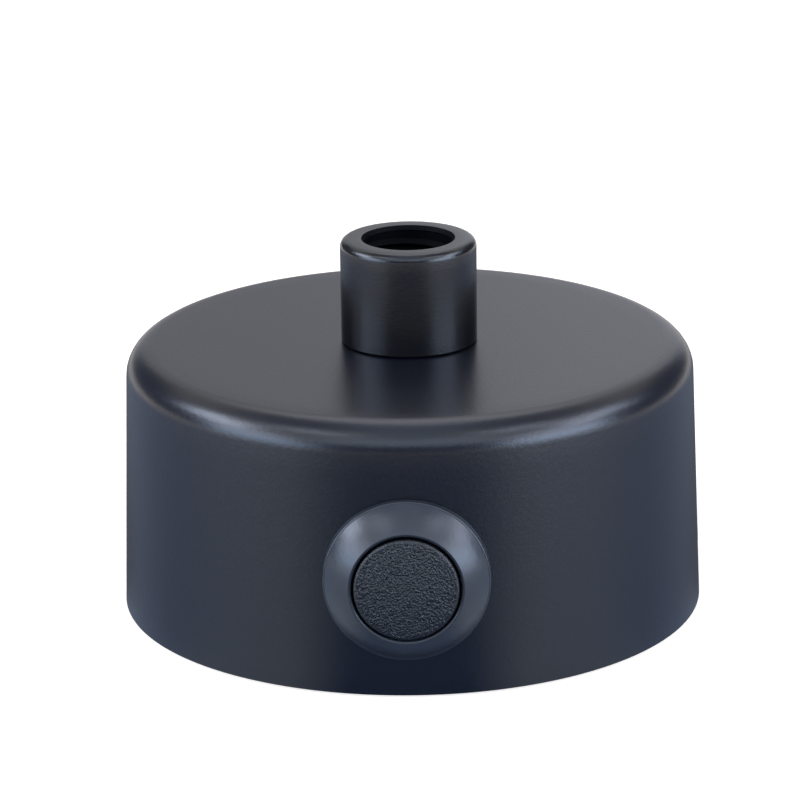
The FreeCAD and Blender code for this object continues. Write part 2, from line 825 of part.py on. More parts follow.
def clamp_screws():
    """Six slotted grub screws, two over each sleeve, backed off so that the wires can enter."""
    body = new_body("clamp_screws")
    first_x = -pole_pitch * (poles - 1) / 2
    first_y = -tower_spacing / 2
    length = on_sheet("clamp_length")
    tip = sleeve_height + on_sheet("clamp_lift")
    shank = new_sketch(body, "XY_Plane", "shank_profile", lift=tip)
    draw_circle(shank, first_x, first_y, clamp_radius)
    screw = pad(body, "shank", shank, length)
    slot = new_sketch(body, "XY_Plane", "slot_profile", lift=tip + length)
    half_slot = on_sheet("drive_slot_width") / 3
    draw_outline(slot, rectangle(first_x - half_slot, first_y - clamp_radius * 2,
                                 first_x + half_slot, first_y + clamp_radius * 2))
    cut = pocket(body, "slot", slot, on_sheet("drive_slot_depth"))
    grid = body.newObject("PartDesign::MultiTransform", "clamp_screws_grid")
    grid.Originals = [screw, cut]
    along = body.newObject("PartDesign::LinearPattern", "clamp_screws_along")
    along.Direction = (origin_part(body, "X_Axis"), [""])
    bind(along, "Length", pole_pitch * (poles - 1))
    along.Occurrences = poles
    across = body.newObject("PartDesign::LinearPattern", "clamp_screws_across")
    across.Direction = (origin_part(body, "Y_Axis"), [""])
    bind(across, "Length", tower_spacing)
    across.Occurrences = 2
    grid.Transformations = [along, across]
    body.Tip = grid
    place(body, 0, block_middle, 0)
    return body


def block_screws():
    """Two screws that hold the terminal block to the bracket."""
    body = slotted_screw("block_screws", block_screw_radius, on_sheet("block_screw_length"),
                         on_sheet("block_head_radius"), on_sheet("block_head_height"))
    screw = [doc.getObject("block_screws_turned"), doc.getObject("block_screws_slot")]
    row_pattern(body, "pair", screw, "X_Axis", pole_pitch, 2)
    place(body, -pole_pitch / 2, block_middle, block_top)
    return body


def switch_bezel():
    """Domed flange, hollowed behind to sit on the round wall, with the threaded neck of the switch."""
    body = new_body("switch_bezel")
    lip = on_sheet("bezel_lip_radius")
    rim_lift = on_sheet("bezel_rim_lift")
    sagitta = switch_wall - root(switch_wall * switch_wall - bezel_radius * bezel_radius)
    flange_back = -sagitta - bezel_radius * tangent(wall_draft) - seat_gap
    rim_edge = lip / 2
    revolve(body, "flange", [
        (bezel_bore_radius, flange_back),
        (bezel_radius, flange_back),
        (bezel_radius, rim_lift - rim_edge, rim_edge),
        (bezel_radius - rim_edge, rim_lift, on_sheet("bezel_dome_radius")),
        (bezel_bore_radius + lip, bezel_front, lip),
        (bezel_bore_radius, bezel_front - lip),
    ])
    saddle = body.newObject("PartDesign::SubtractiveCone", "switch_bezel_saddle")
    reach = bezel_radius * 2
    saddle.Placement = FreeCAD.Placement(FreeCAD.Vector(), FreeCAD.Rotation(FreeCAD.Vector(1, 0, 0), -90))
    bind(saddle, "Placement.Base.y", -reach)
    bind(saddle, "Placement.Base.z", -switch_wall)
    bind(saddle, "Radius1", wall_radius(switch_height - reach) + seat_gap)
    bind(saddle, "Radius2", wall_radius(switch_height + reach) + seat_gap)
    bind(saddle, "Height", reach * 2)
    body.Tip = saddle
    chamfer = on_sheet("neck_chamfer")
    neck_bore_radius = on_sheet("neck_bore_radius")
    web_hole = stem_radius + slide_gap
    revolve(body, "neck", [
        (web_hole, web_back),
        (neck_bore_radius, web_back),
        (neck_bore_radius, neck_end),
        (neck_radius - chamfer, neck_end),
        (neck_radius, neck_end + chamfer),
        (neck_radius, rim_lift),
        (bezel_bore_radius, rim_lift),
        (bezel_bore_radius, web_front),
        (web_hole, web_front),
    ])
    place(body, 0, -switch_wall, switch_height, facing_out)
    return body


def switch_gasket():
    body = new_body("switch_gasket")
    ring = new_sketch(body, "XY_Plane", "ring_profile", lift=gasket_back)
    draw_circle(ring, 0, 0, gasket_radius)
    draw_circle(ring, 0, 0, neck_radius + hole_gap)
    pad(body, "ring", ring, on_sheet("gasket_thickness"))
    place(body, 0, -switch_wall, switch_height, facing_out)
    return body


def switch_nut():
    """Ring nut with finger grips around its edge."""
    body = new_body("switch_nut")
    radius = on_sheet("ring_nut_radius")
    thickness = on_sheet("ring_nut_thickness")
    ring = new_sketch(body, "XY_Plane", "ring_profile", lift=ring_nut_back)
    draw_circle(ring, 0, 0, radius)
    draw_circle(ring, 0, 0, neck_radius + thread_gap)
    pad(body, "ring", ring, thickness)
    grip = new_sketch(body, "XY_Plane", "grip_profile", lift=gasket_back)
    grip_radius = on_sheet("ring_nut_grip_radius")
    draw_circle(grip, radius + grip_radius / 3, 0, grip_radius)
    ring_pattern(body, "grips", [pocket(body, "grip", grip)], 12)
    place(body, 0, -switch_wall, switch_height, facing_out)
    return body


def switch_base():
    """Rear cup of the switch: a spigot that plugs the neck, a floor with two lug slots and a spring boss."""
    body = new_body("switch_base")
    chamfer = on_sheet("base_chamfer")
    outer = on_sheet("base_radius")
    spigot = on_sheet("neck_bore_radius") - seat_gap
    boss_height = on_sheet("cam_hub_length")
    revolve(body, "cup", [
        (0, base_back),
        (outer - chamfer, base_back),
        (outer, base_back + chamfer),
        (outer, neck_end),
        (spigot, neck_end),
        (spigot, neck_end + on_sheet("base_spigot_length")),
        (base_bore_radius, neck_end + on_sheet("base_spigot_length")),
        (base_bore_radius, base_floor),
        (cam_hub_radius, base_floor),
        (cam_hub_radius, base_floor + boss_height),
        (0, base_floor + boss_height),
    ])
    slots = new_sketch(body, "XY_Plane", "lug_slots_profile", lift=base_floor)
    outer_face = on_sheet("lug_outer_face") + seat_gap
    inner_face = on_sheet("lug_outer_face") - on_sheet("lug_thickness") - seat_gap
    half_width = on_sheet("lug_width") / 2 + seat_gap
    draw_outline(slots, rectangle(inner_face, -half_width, outer_face, half_width))
    draw_outline(slots, rectangle(-outer_face, -half_width, -inner_face, half_width))
    pocket(body, "lug_slots", slots)
    place(body, 0, -switch_wall, switch_height, facing_out)
    return body


def button_cap():
    body = new_body("button_cap")
    edge = on_sheet("cap_edge_radius")
    crown = on_sheet("cap_crown")
    face_radius = cap_radius - edge
    crown_radius = (face_radius * face_radius + crown * crown) / (crown * 2)
    skirt_end = cap_edge - on_sheet("cap_skirt_length")
    inner = cap_radius - on_sheet("cap_skirt_thickness")
    revolve(body, "moulded", [
        (0, cap_ceiling),
        (inner, cap_ceiling),
        (inner, skirt_end),
        (cap_radius, skirt_end),
        (cap_radius, cap_edge - edge, edge),
        (face_radius, cap_edge, crown_radius),
        (0, cap_edge + crown),
    ])
    place(body, 0, -switch_wall, switch_height, facing_out)
    return body


def button_plunger():
    """Stem behind the cap with a head that stops against the web and drives the rotor with its teeth."""
    body = new_body("button_plunger")
    revolve(body, "turned", [
        (0, plunger_back),
        (cam_radius, plunger_back),
        (cam_radius, plunger_shoulder),
        (stem_radius, plunger_shoulder),
        (stem_radius, cap_ceiling),
        (0, cap_ceiling),
    ])
    notch = new_sketch(body, "XZ_Plane", "notch_profile")
    half_width = cam_tooth_width / 2 + stop_gap
    draw_outline(notch, [
        (-half_width, plunger_back - stop_gap),
        (half_width, plunger_back - stop_gap),
        (0, plunger_back + cam_tooth_height),
    ])
    ring_pattern(body, "teeth", [pocket(body, "notch", notch)], cam_teeth)
    place(body, 0, -switch_wall, switch_height, facing_out)
    return body


def cam_rotor():
    """Latching rotor: ridges that sit in the plunger's notches, and a hub that carries the contact bridge."""
    body = new_body("cam_rotor")
    revolve(body, "turned", [
        (0, cam_hub_end),
        (cam_hub_radius, cam_hub_end),
        (cam_hub_radius, rotor_back),
        (cam_radius, rotor_back),
        (cam_radius, rotor_front),
        (0, rotor_front),
    ])
    half_width = cam_tooth_width / 2
    inner_end = cam_hub_radius + half_width
    outer_end = root(cam_radius * cam_radius - half_width * half_width)
    ridge = new_sketch(body, "XZ_Plane", "ridge_profile", lift=inner_end)
    draw_outline(ridge, [
        (-half_width, rotor_front - stop_gap),
        (half_width, rotor_front - stop_gap),
        (half_width, rotor_front),
        (0, rotor_front + cam_tooth_height),
        (-half_width, rotor_front),
    ])
    ring_pattern(body, "teeth", [pad(body, "ridge", ridge, outer_end - inner_end)], cam_teeth)
    place(body, 0, -switch_wall, switch_height, facing_out)
    return body


def contact_bridge():
    """Metal strip that joins the two lugs when the button is pressed."""
    body = new_body("contact_bridge")
    half_length = on_sheet("bridge_length") / 2
    half_width = on_sheet("bridge_width") / 2
    strip = new_sketch(body, "XY_Plane", "strip_profile", lift=bridge_back)
    draw_outline(strip, round_corners(rectangle(-half_length, -half_width, half_length, half_width),
                                      half_width / 2))
    pad(body, "strip", strip, on_sheet("bridge_thickness"))
    washer = new_sketch(body, "XY_Plane", "washer_profile", lift=bridge_back)
    draw_circle(washer, 0, 0, on_sheet("spring_radius") + on_sheet("spring_wire_radius") + seat_gap)
    pad(body, "washer", washer, on_sheet("bridge_thickness"))
    bore = new_sketch(body, "XY_Plane", "bore_profile", lift=rotor_back)
    draw_circle(bore, 0, 0, cam_hub_radius + seat_gap)
    pocket(body, "bore", bore)
    contacts = new_sketch(body, "XY_Plane", "contacts_profile", lift=contact_tip)
    for x in (-on_sheet("contact_spacing") / 2, on_sheet("contact_spacing") / 2):
        draw_circle(contacts, x, 0, on_sheet("contact_radius"))
    pad(body, "contacts", contacts, on_sheet("contact_height") + on_sheet("bridge_thickness") / 2)
    place(body, 0, -switch_wall, switch_height, facing_out)
    return body


def return_spring():
    """Coil spring between the contact bridge and the floor of the base, of six-sided wire."""
    coil_radius = on_sheet("spring_radius").value
    wire_radius = on_sheet("spring_wire_radius").value
    start = (base_floor + on_sheet("spring_wire_radius") + seat_gap).value
    height = (bridge_back - on_sheet("spring_wire_radius") - seat_gap).value - start
    steps_per_turn = 12
    wire_sides = 6
    steps = round(on_sheet("spring_turns").value * steps_per_turn)

    def wire_corners(step):
        angle = 2 * math.pi * step / steps_per_turn
        outward = FreeCAD.Vector(math.cos(angle), math.sin(angle), 0)
        centre = outward * coil_radius + FreeCAD.Vector(0, 0, start + height * step / steps)
        around = [2 * math.pi * side / wire_sides for side in range(wire_sides)]
        return [centre + outward * (wire_radius * math.cos(turn))
                + FreeCAD.Vector(0, 0, wire_radius * math.sin(turn)) for turn in around]

    def face(*corners):
        return Part.Face(Part.makePolygon([*corners, corners[0]]))

    faces = [face(*wire_corners(0)), face(*wire_corners(steps))]
    for step in range(steps):
        here = wire_corners(step)
        following = wire_corners(step + 1)
        for side in range(wire_sides):
            beside = (side + 1) % wire_sides
            faces.append(face(here[side], here[beside], following[side]))
            faces.append(face(here[beside], following[beside], following[side]))
    spring = doc.addObject("Part::Feature", "return_spring")
    spring.Label = "return_spring"
    shell = Part.makeShell(faces)
    shell.sewShape()
    solid = Part.makeSolid(shell)
    if solid.Volume < 0:
        solid.reverse()
    spring.Shape = solid
    place(spring, 0, -switch_wall, switch_height, facing_out)
    return spring


def contact_lug(label, side):
    """Bent brass lug: a contact pad inside the base and a tail with an eye for the wire behind it."""
    body = new_body(label)
    thick = on_sheet("lug_thickness")
    outer_face = on_sheet("lug_outer_face")
    pad_end = outer_face - on_sheet("lug_pad_length")
    corners = [
        (pad_end, lug_pad_front - thick),
        (outer_face - thick, lug_pad_front - thick),
        (outer_face - thick, lug_end),
        (outer_face, lug_end),
        (outer_face, lug_pad_front),
        (pad_end, lug_pad_front),
    ]
    strip = new_sketch(body, "XZ_Plane", "strip_profile")
    draw_outline(strip, [(x * side, z) for x, z in corners])
    pad(body, "strip", strip, on_sheet("lug_width"), both_sides=True)
    eye = new_sketch(body, "YZ_Plane", "eye_profile")
    draw_circle(eye, 0, lug_end + on_sheet("lug_width") / 2, on_sheet("lug_eye_radius"))
    pocket(body, "eye", eye, both_sides=True)
    place(body, 0, -switch_wall, switch_height, facing_out)
    return body


parts = [
    canopy(), collar(), nipple(), nipple_nut(), lock_washer(), earth_tag(),
    bracket(), canopy_screws(), earth_screw(), earth_cup(),
    terminal_housing(), terminal_sleeves(), clamp_screws(), block_screws(),
    switch_bezel(), switch_gasket(), switch_nut(), switch_base(),
    button_cap(), button_plunger(), cam_rotor(), contact_bridge(), return_spring(),
    contact_lug("left_lug", -1), contact_lug("right_lug", 1),
]
doc.recompute()

for item in doc.Objects:
    if "Invalid" in item.State or "Error" in item.State:
        raise RuntimeError(f"{item.Label} failed: {item.State}")
for part in parts:
    if part.Shape.isNull() or not part.Shape.isValid():
        raise RuntimeError(f"{part.Label} has no valid shape")

os.makedirs("parts", exist_ok=True)
for part in parts:
    part.Shape.exportStep(f"parts/{part.Label}.step")
    print(part.Label, len(part.Shape.Solids), round(part.Shape.Volume, 2))
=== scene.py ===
import math

import bmesh
import bpy
from mathutils import Matrix, Vector, noise


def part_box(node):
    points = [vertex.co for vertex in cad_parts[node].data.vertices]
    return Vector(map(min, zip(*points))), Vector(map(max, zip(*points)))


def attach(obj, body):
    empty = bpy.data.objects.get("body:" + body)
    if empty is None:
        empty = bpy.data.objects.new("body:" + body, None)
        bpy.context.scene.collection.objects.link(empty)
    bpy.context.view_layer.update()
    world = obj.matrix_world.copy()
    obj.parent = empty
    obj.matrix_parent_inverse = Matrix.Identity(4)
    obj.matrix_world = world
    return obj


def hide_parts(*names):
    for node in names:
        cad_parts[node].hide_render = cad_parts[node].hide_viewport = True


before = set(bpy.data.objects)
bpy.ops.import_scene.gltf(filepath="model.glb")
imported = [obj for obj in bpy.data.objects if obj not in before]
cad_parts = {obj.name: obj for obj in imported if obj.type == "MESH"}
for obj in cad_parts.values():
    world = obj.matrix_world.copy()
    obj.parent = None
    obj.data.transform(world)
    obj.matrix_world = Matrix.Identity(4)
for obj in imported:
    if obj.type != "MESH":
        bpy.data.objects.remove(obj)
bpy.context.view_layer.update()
mm = 0.001
bpy.context.scene.view_settings.view_transform = "Standard"


# shared helpers: colours, nodes, outlines and turned shapes

def toLinear(hexText):  # an sRGB hex value as the linear colour that sockets take
    parts = [int(hexText[i:i + 2], 16) / 255 for i in (1, 3, 5)]
    return (*[c / 12.92 if c <= 0.04045 else ((c + 0.055) / 1.055) ** 2.4 for c in parts], 1)


def addNode(tree, kind, settings=None, inputs=None):
    # settings are the node's own fields; inputs maps a socket to its value, or to the socket linked into it
    node = tree.nodes.new(kind)
    for name, value in (settings or {}).items():
        setattr(node, name, value)
    for name, value in (inputs or {}).items():
        if isinstance(value, bpy.types.NodeSocket):
            tree.links.new(value, node.inputs[name])
        else:
            node.inputs[name].default_value = value
    return node


def addMath(tree, operation, first, second=0.0):  # a Math node's result
    return addNode(tree, "ShaderNodeMath", {"operation": operation}, {0: first, 1: second}).outputs[0]


def newMaterial(name):  # a material with an empty tree and its output node
    material = bpy.data.materials.new(name)
    material.use_nodes = True
    material.node_tree.nodes.clear()
    return material, material.node_tree, addNode(material.node_tree, "ShaderNodeOutputMaterial")


def roundedOutline(corners, steps=8):
    # corners are (radius, height) or (radius, height, bend) in mm; a bend is rounded off with an arc
    points = []
    count = len(corners)
    for i, corner in enumerate(corners):
        here = Vector(corner[:2])
        bend = corner[2] if len(corner) > 2 else 0
        if not bend:
            points.append(tuple(here))
            continue
        before = (Vector(corners[i - 1][:2]) - here).normalized()
        after = (Vector(corners[(i + 1) % count][:2]) - here).normalized()
        half = before.angle(after) / 2
        centre = here + (before + after).normalized() * (bend / math.sin(half))
        first = here + before * (bend / math.tan(half)) - centre
        last = here + after * (bend / math.tan(half)) - centre
        sweep = math.atan2(first.x * last.y - first.y * last.x, first.dot(last))
        for k in range(steps + 1):
            a = sweep * k / steps
            turned = Vector((first.x * math.cos(a) - first.y * math.sin(a),
                             first.x * math.sin(a) + first.y * math.cos(a)))
            points.append(tuple(centre + turned))
    return points


def arcBetween(start, end, radius, steps):  # points of a bulging arc from start to end, both included
    start, end = Vector(start), Vector(end)
    chord = end - start
    middle = (start + end) / 2
    away = Vector((chord.y, -chord.x)).normalized()
    centre = middle - away * math.sqrt(radius * radius - chord.length_squared / 4)
    first, last = start - centre, end - centre
    sweep = math.atan2(first.x * last.y - first.y * last.x, first.dot(last))
    points = []
    for k in range(steps + 1):
        a = sweep * k / steps
        points.append((centre.x + first.x * math.cos(a) - first.y * math.sin(a),
                       centre.y + first.x * math.sin(a) + first.y * math.cos(a)))
    return points


def splitRuns(points, longest):  # adds points where a straight run is longer than longest
    out = []
    for i, here in enumerate(points):
        there = points[(i + 1) % len(points)]
        parts = max(1, math.ceil(math.dist(here, there) / longest))
        out += [(here[0] + (there[0] - here[0]) * k / parts, here[1] + (there[1] - here[1]) * k / parts)
                for k in range(parts)]
    return out


def turnedMesh(name, outline, segments, closed=True):
    # turns an outline of (radius, height) points in mm about Z; a point on the axis becomes one pole
    shape = bmesh.new()
    rings = []
    for radius, height in outline:
        if radius < 1e-6:
            rings.append([shape.verts.new((0, 0, height * mm))])
            continue
        rings.append([shape.verts.new((radius * mm * math.cos(math.tau * s / segments),
                                       radius * mm * math.sin(math.tau * s / segments), height * mm))
                      for s in range(segments)])
    pairs = list(zip(rings, rings[1:] + rings[:1])) if closed else list(zip(rings, rings[1:]))
    for low, high in pairs:
        for s in range(segments):
            t = (s + 1) % segments
            if len(low) == 1 and len(high) == 1:
                break
            if len(low) == 1:
                shape.faces.new((low[0], high[t], high[s]))
            elif len(high) == 1:
                shape.faces.new((low[s], low[t], high[0]))
            else:
                shape.faces.new((low[s], low[t], high[t], high[s]))
    bmesh.ops.recalc_face_normals(shape, faces=shape.faces)
    mesh = bpy.data.meshes.new(name)
    shape.to_mesh(mesh)
    shape.free()
    piece = bpy.data.objects.new(name, mesh)
    bpy.context.scene.collection.objects.link(piece)
    return piece


def rod(name, radius, start, end, segments):  # a solid cylinder along Z
    return turnedMesh(name, [(0, start), (radius, start), (radius, end), (0, end)], segments, closed=False)


def settle(piece):  # takes the piece's modifiers and its own place into its mesh
    bpy.context.view_layer.update()
    evaluated = piece.evaluated_get(bpy.context.evaluated_depsgraph_get())
    mesh = bpy.data.meshes.new_from_object(evaluated)
    mesh.transform(piece.matrix_world)
    piece.modifiers.clear()
    piece.data = mesh
    piece.matrix_world = Matrix.Identity(4)
    return piece


def smoothShade(piece, sharpAbove=32):
    piece.data.shade_smooth()
    piece.data.set_sharp_from_angle(angle=math.radians(sharpAbove))


def cutAway(piece, cutter):  # boolean difference, after which the cutter is gone
    cut = piece.modifiers.new("cut", "BOOLEAN")
    cut.operation = "DIFFERENCE"
    cut.solver = "EXACT"
    cut.object = cutter
    settle(piece)
    bpy.data.objects.remove(cutter)


def finishPiece(piece, material, body, slotName, *nodes):
    piece.data.materials.clear()
    piece.data.materials.append(material)
    smoothShade(piece)
    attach(piece, body)
    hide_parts(*nodes)


# the camera at the photograph's viewing angle

cameraSettings = {
    "lens": 182.86,           # mm
    "sensor": 36,             # mm
    "distance": 433.3,        # mm in front of the axis
    "height": 162.17,         # mm above the floor
    "pitchDown": 17.864,      # degrees
    "aimLeft": 0.151,         # degrees
    "turned": 1.079,          # degrees round the object, towards +X
    "roll": -0.80,            # degrees
    "near": 0.05,             # metres, where the view begins
    "far": 20,                # and where it ends
}


def makeCamera(s):
    camera = bpy.data.objects.new("camera", bpy.data.cameras.new("camera"))
    bpy.context.scene.collection.objects.link(camera)
    camera.data.lens = s["lens"]
    camera.data.sensor_width = s["sensor"]
    camera.data.clip_start = s["near"]
    camera.data.clip_end = s["far"]
    turn = Matrix.Rotation(math.radians(s["turned"]), 4, "Z")
    sideways = Matrix.Rotation(math.radians(s["aimLeft"]), 4, "Z")
    aim = sideways @ Matrix.Rotation(math.radians(90 - s["pitchDown"]), 4, "X")
    place = Matrix.Translation(Vector((0, -s["distance"] * mm, s["height"] * mm)))
    camera.matrix_world = turn @ place @ aim @ Matrix.Rotation(math.radians(s["roll"]), 4, "Z")
    bpy.context.scene.camera = camera


makeCamera(cameraSettings)
print("camera set")


# the stage: pale floor, soft lamps, and cards that only reflections see

stageSettings = {
    "floorColour": "#E9E9E8",
    "floorSeen": "#E9D4BE",   # balances the cold lamps for camera, glossy and transmission rays only
    "floorFill": 0.72,        # added for the same rays
    "floorReach": 4.0,        # metres from the axis
    "floorLevel": -0.0002,    # metres: a hair below the rim, so that the two faces don't share a plane
    "roomColour": "#E4EBF5",
    "roomStrength": 0.25,     # what the room adds as plain light
    "lampDistance": 0.9,      # metres
    "cardDistance": 1.6,
    "cardColumns": 24,
    "cardRows": 8,
}

# azimuth from the front and elevation in degrees, width and height in metres, brightness, colour
lamps = {
    "leftLow": (-60, 9, 0.70, 0.26, 5.4, "#B5D6FF"),
    "rightLow": (60, 9, 0.70, 0.26, 8.1, "#C2DBFF"),
    "leftMiddle": (-68, 22, 0.56, 0.26, 4.7, "#D8E4FF"),
    "rightMiddle": (64, 24, 0.60, 0.26, 4.6, "#D8E4FF"),
    "leftUpper": (-90, 33, 0.44, 0.26, 10.4, "#DCE8FF"),
    "rightUpper": (88, 35, 0.48, 0.26, 6.4, "#D8E4FF"),
    "leftTop": (-52, 55, 0.36, 0.20, 3.8, "#DCE8FF"),
    "rightTop": (58, 53, 0.36, 0.20, 3.8, "#DCE8FF"),
}

# cards that only reflections see: azimuth from and to, elevation from and to, brightness, colour
cards = {
    "frontLowCard": (-36, 36, 0, 22, 0.3, "#B8CCFF"),
    "frontMiddleCard": (-36, 36, 22, 46, 2.7, "#DCEAFF"),
    "frontUpperCard": (-36, 36, 46, 76, 1.3, "#E0F0FF"),
    "zenithCard": (-180, 180, 76, 90, 1.4, "#D4E2FF"),
    "backLeftCard": (180, 204, 0, 34, 0.65, "#F4F6FF"),
    "backRightCard": (156, 180, 0, 34, 0.97, "#F2F5FF"),
    "backHighCard": (156, 204, 44, 76, 2.3, "#F0F4FF"),
    "sideHighLeftCard": (208, 304, 52, 76, 0.6, "#E0EAFF"),
    "sideHighRightCard": (56, 152, 52, 76, 0.6, "#E0EAFF"),
    "sideLeftCard": (204, 275, 0, 34, 0.18, "#D8E4FF"),
    "sideRightCard": (85, 156, 0, 34, 0.18, "#D8E4FF"),
}

# one more lies on the floor: its colour at azimuths mirrored by the wall, as shares of half a turn
tableCard = {
    "radius": 0.2,            # metres
    "hub": 0.001,             # radius of its pinhole
    "level": -0.0001,         # between the floor and the rim
    "wall": 0.0325,           # radius of the canopy's foot
    "follow": 1.5,            # how fast the azimuths turn with the distance
    "segments": 96,
    "stops": [(0.0, "#7086AC"), (0.13, "#6C82A6"), (0.26, "#E4F0FF"), (0.46, "#DAE8FF"), (0.62, "#B0C0E0"),
              (0.75, "#A4B2D0"), (0.86, "#98A4B8"), (1.0, "#6A707A")],
}


def pathSwitch(tree):  # 1 for rays that come straight, mirrored or refracted to the camera
    path = addNode(tree, "ShaderNodeLightPath")
    both = addMath(tree, "MAXIMUM", path.outputs["Is Camera Ray"], path.outputs["Is Glossy Ray"])
    return addMath(tree, "MAXIMUM", both, path.outputs["Is Transmission Ray"])


def addStagePiece(name, vertices, faces, material):
    mesh = bpy.data.meshes.new(name)
    mesh.from_pydata(vertices, [], faces)
    mesh.materials.append(material)
    piece = bpy.data.objects.new(name, mesh)
    bpy.context.scene.collection.objects.link(piece)
    return piece


def makeFloor(s):
    material, tree, output = newMaterial("paleFloor")
    diffuse = addNode(tree, "ShaderNodeBsdfDiffuse", inputs={"Color": toLinear(s["floorColour"])})
    seen = addNode(tree, "ShaderNodeBsdfDiffuse", inputs={"Color": toLinear(s["floorSeen"])})
    glow = addNode(tree, "ShaderNodeEmission", inputs={"Color": (1, 1, 1, 1), "Strength": s["floorFill"]})
    both = addNode(tree, "ShaderNodeAddShader", inputs={0: seen.outputs[0], 1: glow.outputs[0]})
    mix = addNode(tree, "ShaderNodeMixShader", inputs={
        0: pathSwitch(tree), 1: diffuse.outputs[0], 2: both.outputs[0]})
    tree.links.new(mix.outputs[0], output.inputs["Surface"])
    reach, level = s["floorReach"], s["floorLevel"]
    corners = [(-reach, -reach, level), (reach, -reach, level), (reach, reach, level), (-reach, reach, level)]
    addStagePiece("floor", corners, [(0, 1, 2, 3)], material)


def makeRoom(s):
    world = bpy.data.worlds.new("room")
    bpy.context.scene.world = world
    world.use_nodes = True
    tree = world.node_tree
    tree.nodes.clear()
    plain = addNode(tree, "ShaderNodeBackground", inputs={
        "Color": toLinear(s["roomColour"]), "Strength": s["roomStrength"]})
    seen = addNode(tree, "ShaderNodeBackground", inputs={"Color": (1, 1, 1, 1), "Strength": 1.0})
    mix = addNode(tree, "ShaderNodeMixShader", inputs={
        0: pathSwitch(tree), 1: plain.outputs[0], 2: seen.outputs[0]})
    output = addNode(tree, "ShaderNodeOutputWorld")
    tree.links.new(mix.outputs[0], output.inputs["Surface"])


def direction(azimuth, elevation):
    a, e = math.radians(azimuth), math.radians(elevation)
    return Vector((math.sin(a) * math.cos(e), -math.cos(a) * math.cos(e), math.sin(e)))


def makeLamp(name, azimuth, elevation, width, height, brightness, colour):
    lamp = bpy.data.lights.new(name, "AREA")
    lamp.shape = "RECTANGLE"
    lamp.size = width
    lamp.size_y = height
    lamp.energy = brightness * math.pi * width * height  # so that brightness is the panel's own radiance
    lamp.color = toLinear(colour)[:3]
    box = bpy.data.objects.new(name, lamp)
    place = direction(azimuth, elevation) * stageSettings["lampDistance"]
    box.matrix_world = Matrix.Translation(place) @ place.to_track_quat("Z", "Y").to_matrix().to_4x4()
    bpy.context.scene.collection.objects.link(box)
    box.visible_camera = False


def addCard(name, grid, material):  # grid rows of points become one sheet that only reflections see
    across = len(grid[0])
    faces = [(j * across + i, j * across + i + 1, (j + 1) * across + i + 1, (j + 1) * across + i)
             for j in range(len(grid) - 1) for i in range(across - 1)]
    piece = addStagePiece(name, [tuple(point) for row in grid for point in row], faces, material)
    piece.visible_camera = False
    piece.visible_diffuse = False
    piece.visible_transmission = False
    piece.visible_volume_scatter = False
    piece.visible_shadow = False


def cardMaterial(name, brightness, colour):
    material, tree, output = newMaterial(name)
    glow = addNode(tree, "ShaderNodeEmission", inputs={"Color": toLinear(colour), "Strength": brightness})
    tree.links.new(glow.outputs[0], output.inputs["Surface"])
    return material


def evenSteps(start, end, count):
    return [start + (end - start) * k / count for k in range(count + 1)]


def makeCard(name, azimuthFrom, azimuthTo, elevationFrom, elevationTo, brightness, colour):
    turns = evenSteps(azimuthFrom, azimuthTo, stageSettings["cardColumns"])
    rises = evenSteps(elevationFrom, elevationTo, stageSettings["cardRows"])
    grid = [[direction(turn, rise) * stageSettings["cardDistance"] for turn in turns] for rise in rises]
    addCard(name, grid, cardMaterial(name, brightness, colour))


def makeTableCard(s):
    # the wall bends a ray from azimuth a at its foot towards twice a, and the card's azimuth follows that
    material, tree, output = newMaterial("tableCard")
    place = addNode(tree, "ShaderNodeTexCoord")
    parts = addNode(tree, "ShaderNodeSeparateXYZ", inputs={"Vector": place.outputs["Object"]})

    def calc(*terms):
        return addMath(tree, *terms)

    across, back = parts.outputs["X"], parts.outputs["Y"]
    turn = calc("ARCTAN2", across, calc("MULTIPLY", back, -1.0))
    away = calc("SQRT", calc("ADD", calc("MULTIPLY", across, across), calc("MULTIPLY", back, back)))
    follow = calc("ADD", calc("POWER", calc("DIVIDE", s["wall"], away), s["follow"]), 1.0)
    share = calc("DIVIDE", calc("MULTIPLY", calc("ABSOLUTE", turn), follow), math.pi)
    ramp = addNode(tree, "ShaderNodeValToRGB", inputs={"Fac": share})
    stops = ramp.color_ramp.elements
    while len(stops) < len(s["stops"]):
        stops.new(0.5)
    for stop, (place, colour) in zip(stops, s["stops"]):
        stop.position, stop.color = place, toLinear(colour)
    glow = addNode(tree, "ShaderNodeEmission", inputs={"Color": ramp.outputs["Color"], "Strength": 1.0})
    tree.links.new(glow.outputs[0], output.inputs["Surface"])
    above = Vector((0, 0, s["level"]))
    grid = [[direction(turn, 0) * radius + above for turn in evenSteps(-180, 180, s["segments"])]
            for radius in (s["hub"], s["radius"])]
    addCard("tableCard", grid, material)


makeFloor(stageSettings)
makeRoom(stageSettings)
for name, facts in lamps.items():
    makeLamp(name, *facts)
for name, facts in cards.items():
    makeCard(name, *facts)
makeTableCard(tableCard)
print("stage set")


# materials

def objectPoint(tree):
    return addNode(tree, "ShaderNodeTexCoord").outputs["Object"]


def perMillimetre(size):  # noise scale whose grains are about this many mm across
    return 1000 / size


cloudSize = 14                  # a cloudy patch is as wide as this many grains
noiseLow, noiseHigh = 0.3, 0.7  # nearly all of a noise's values lie between these

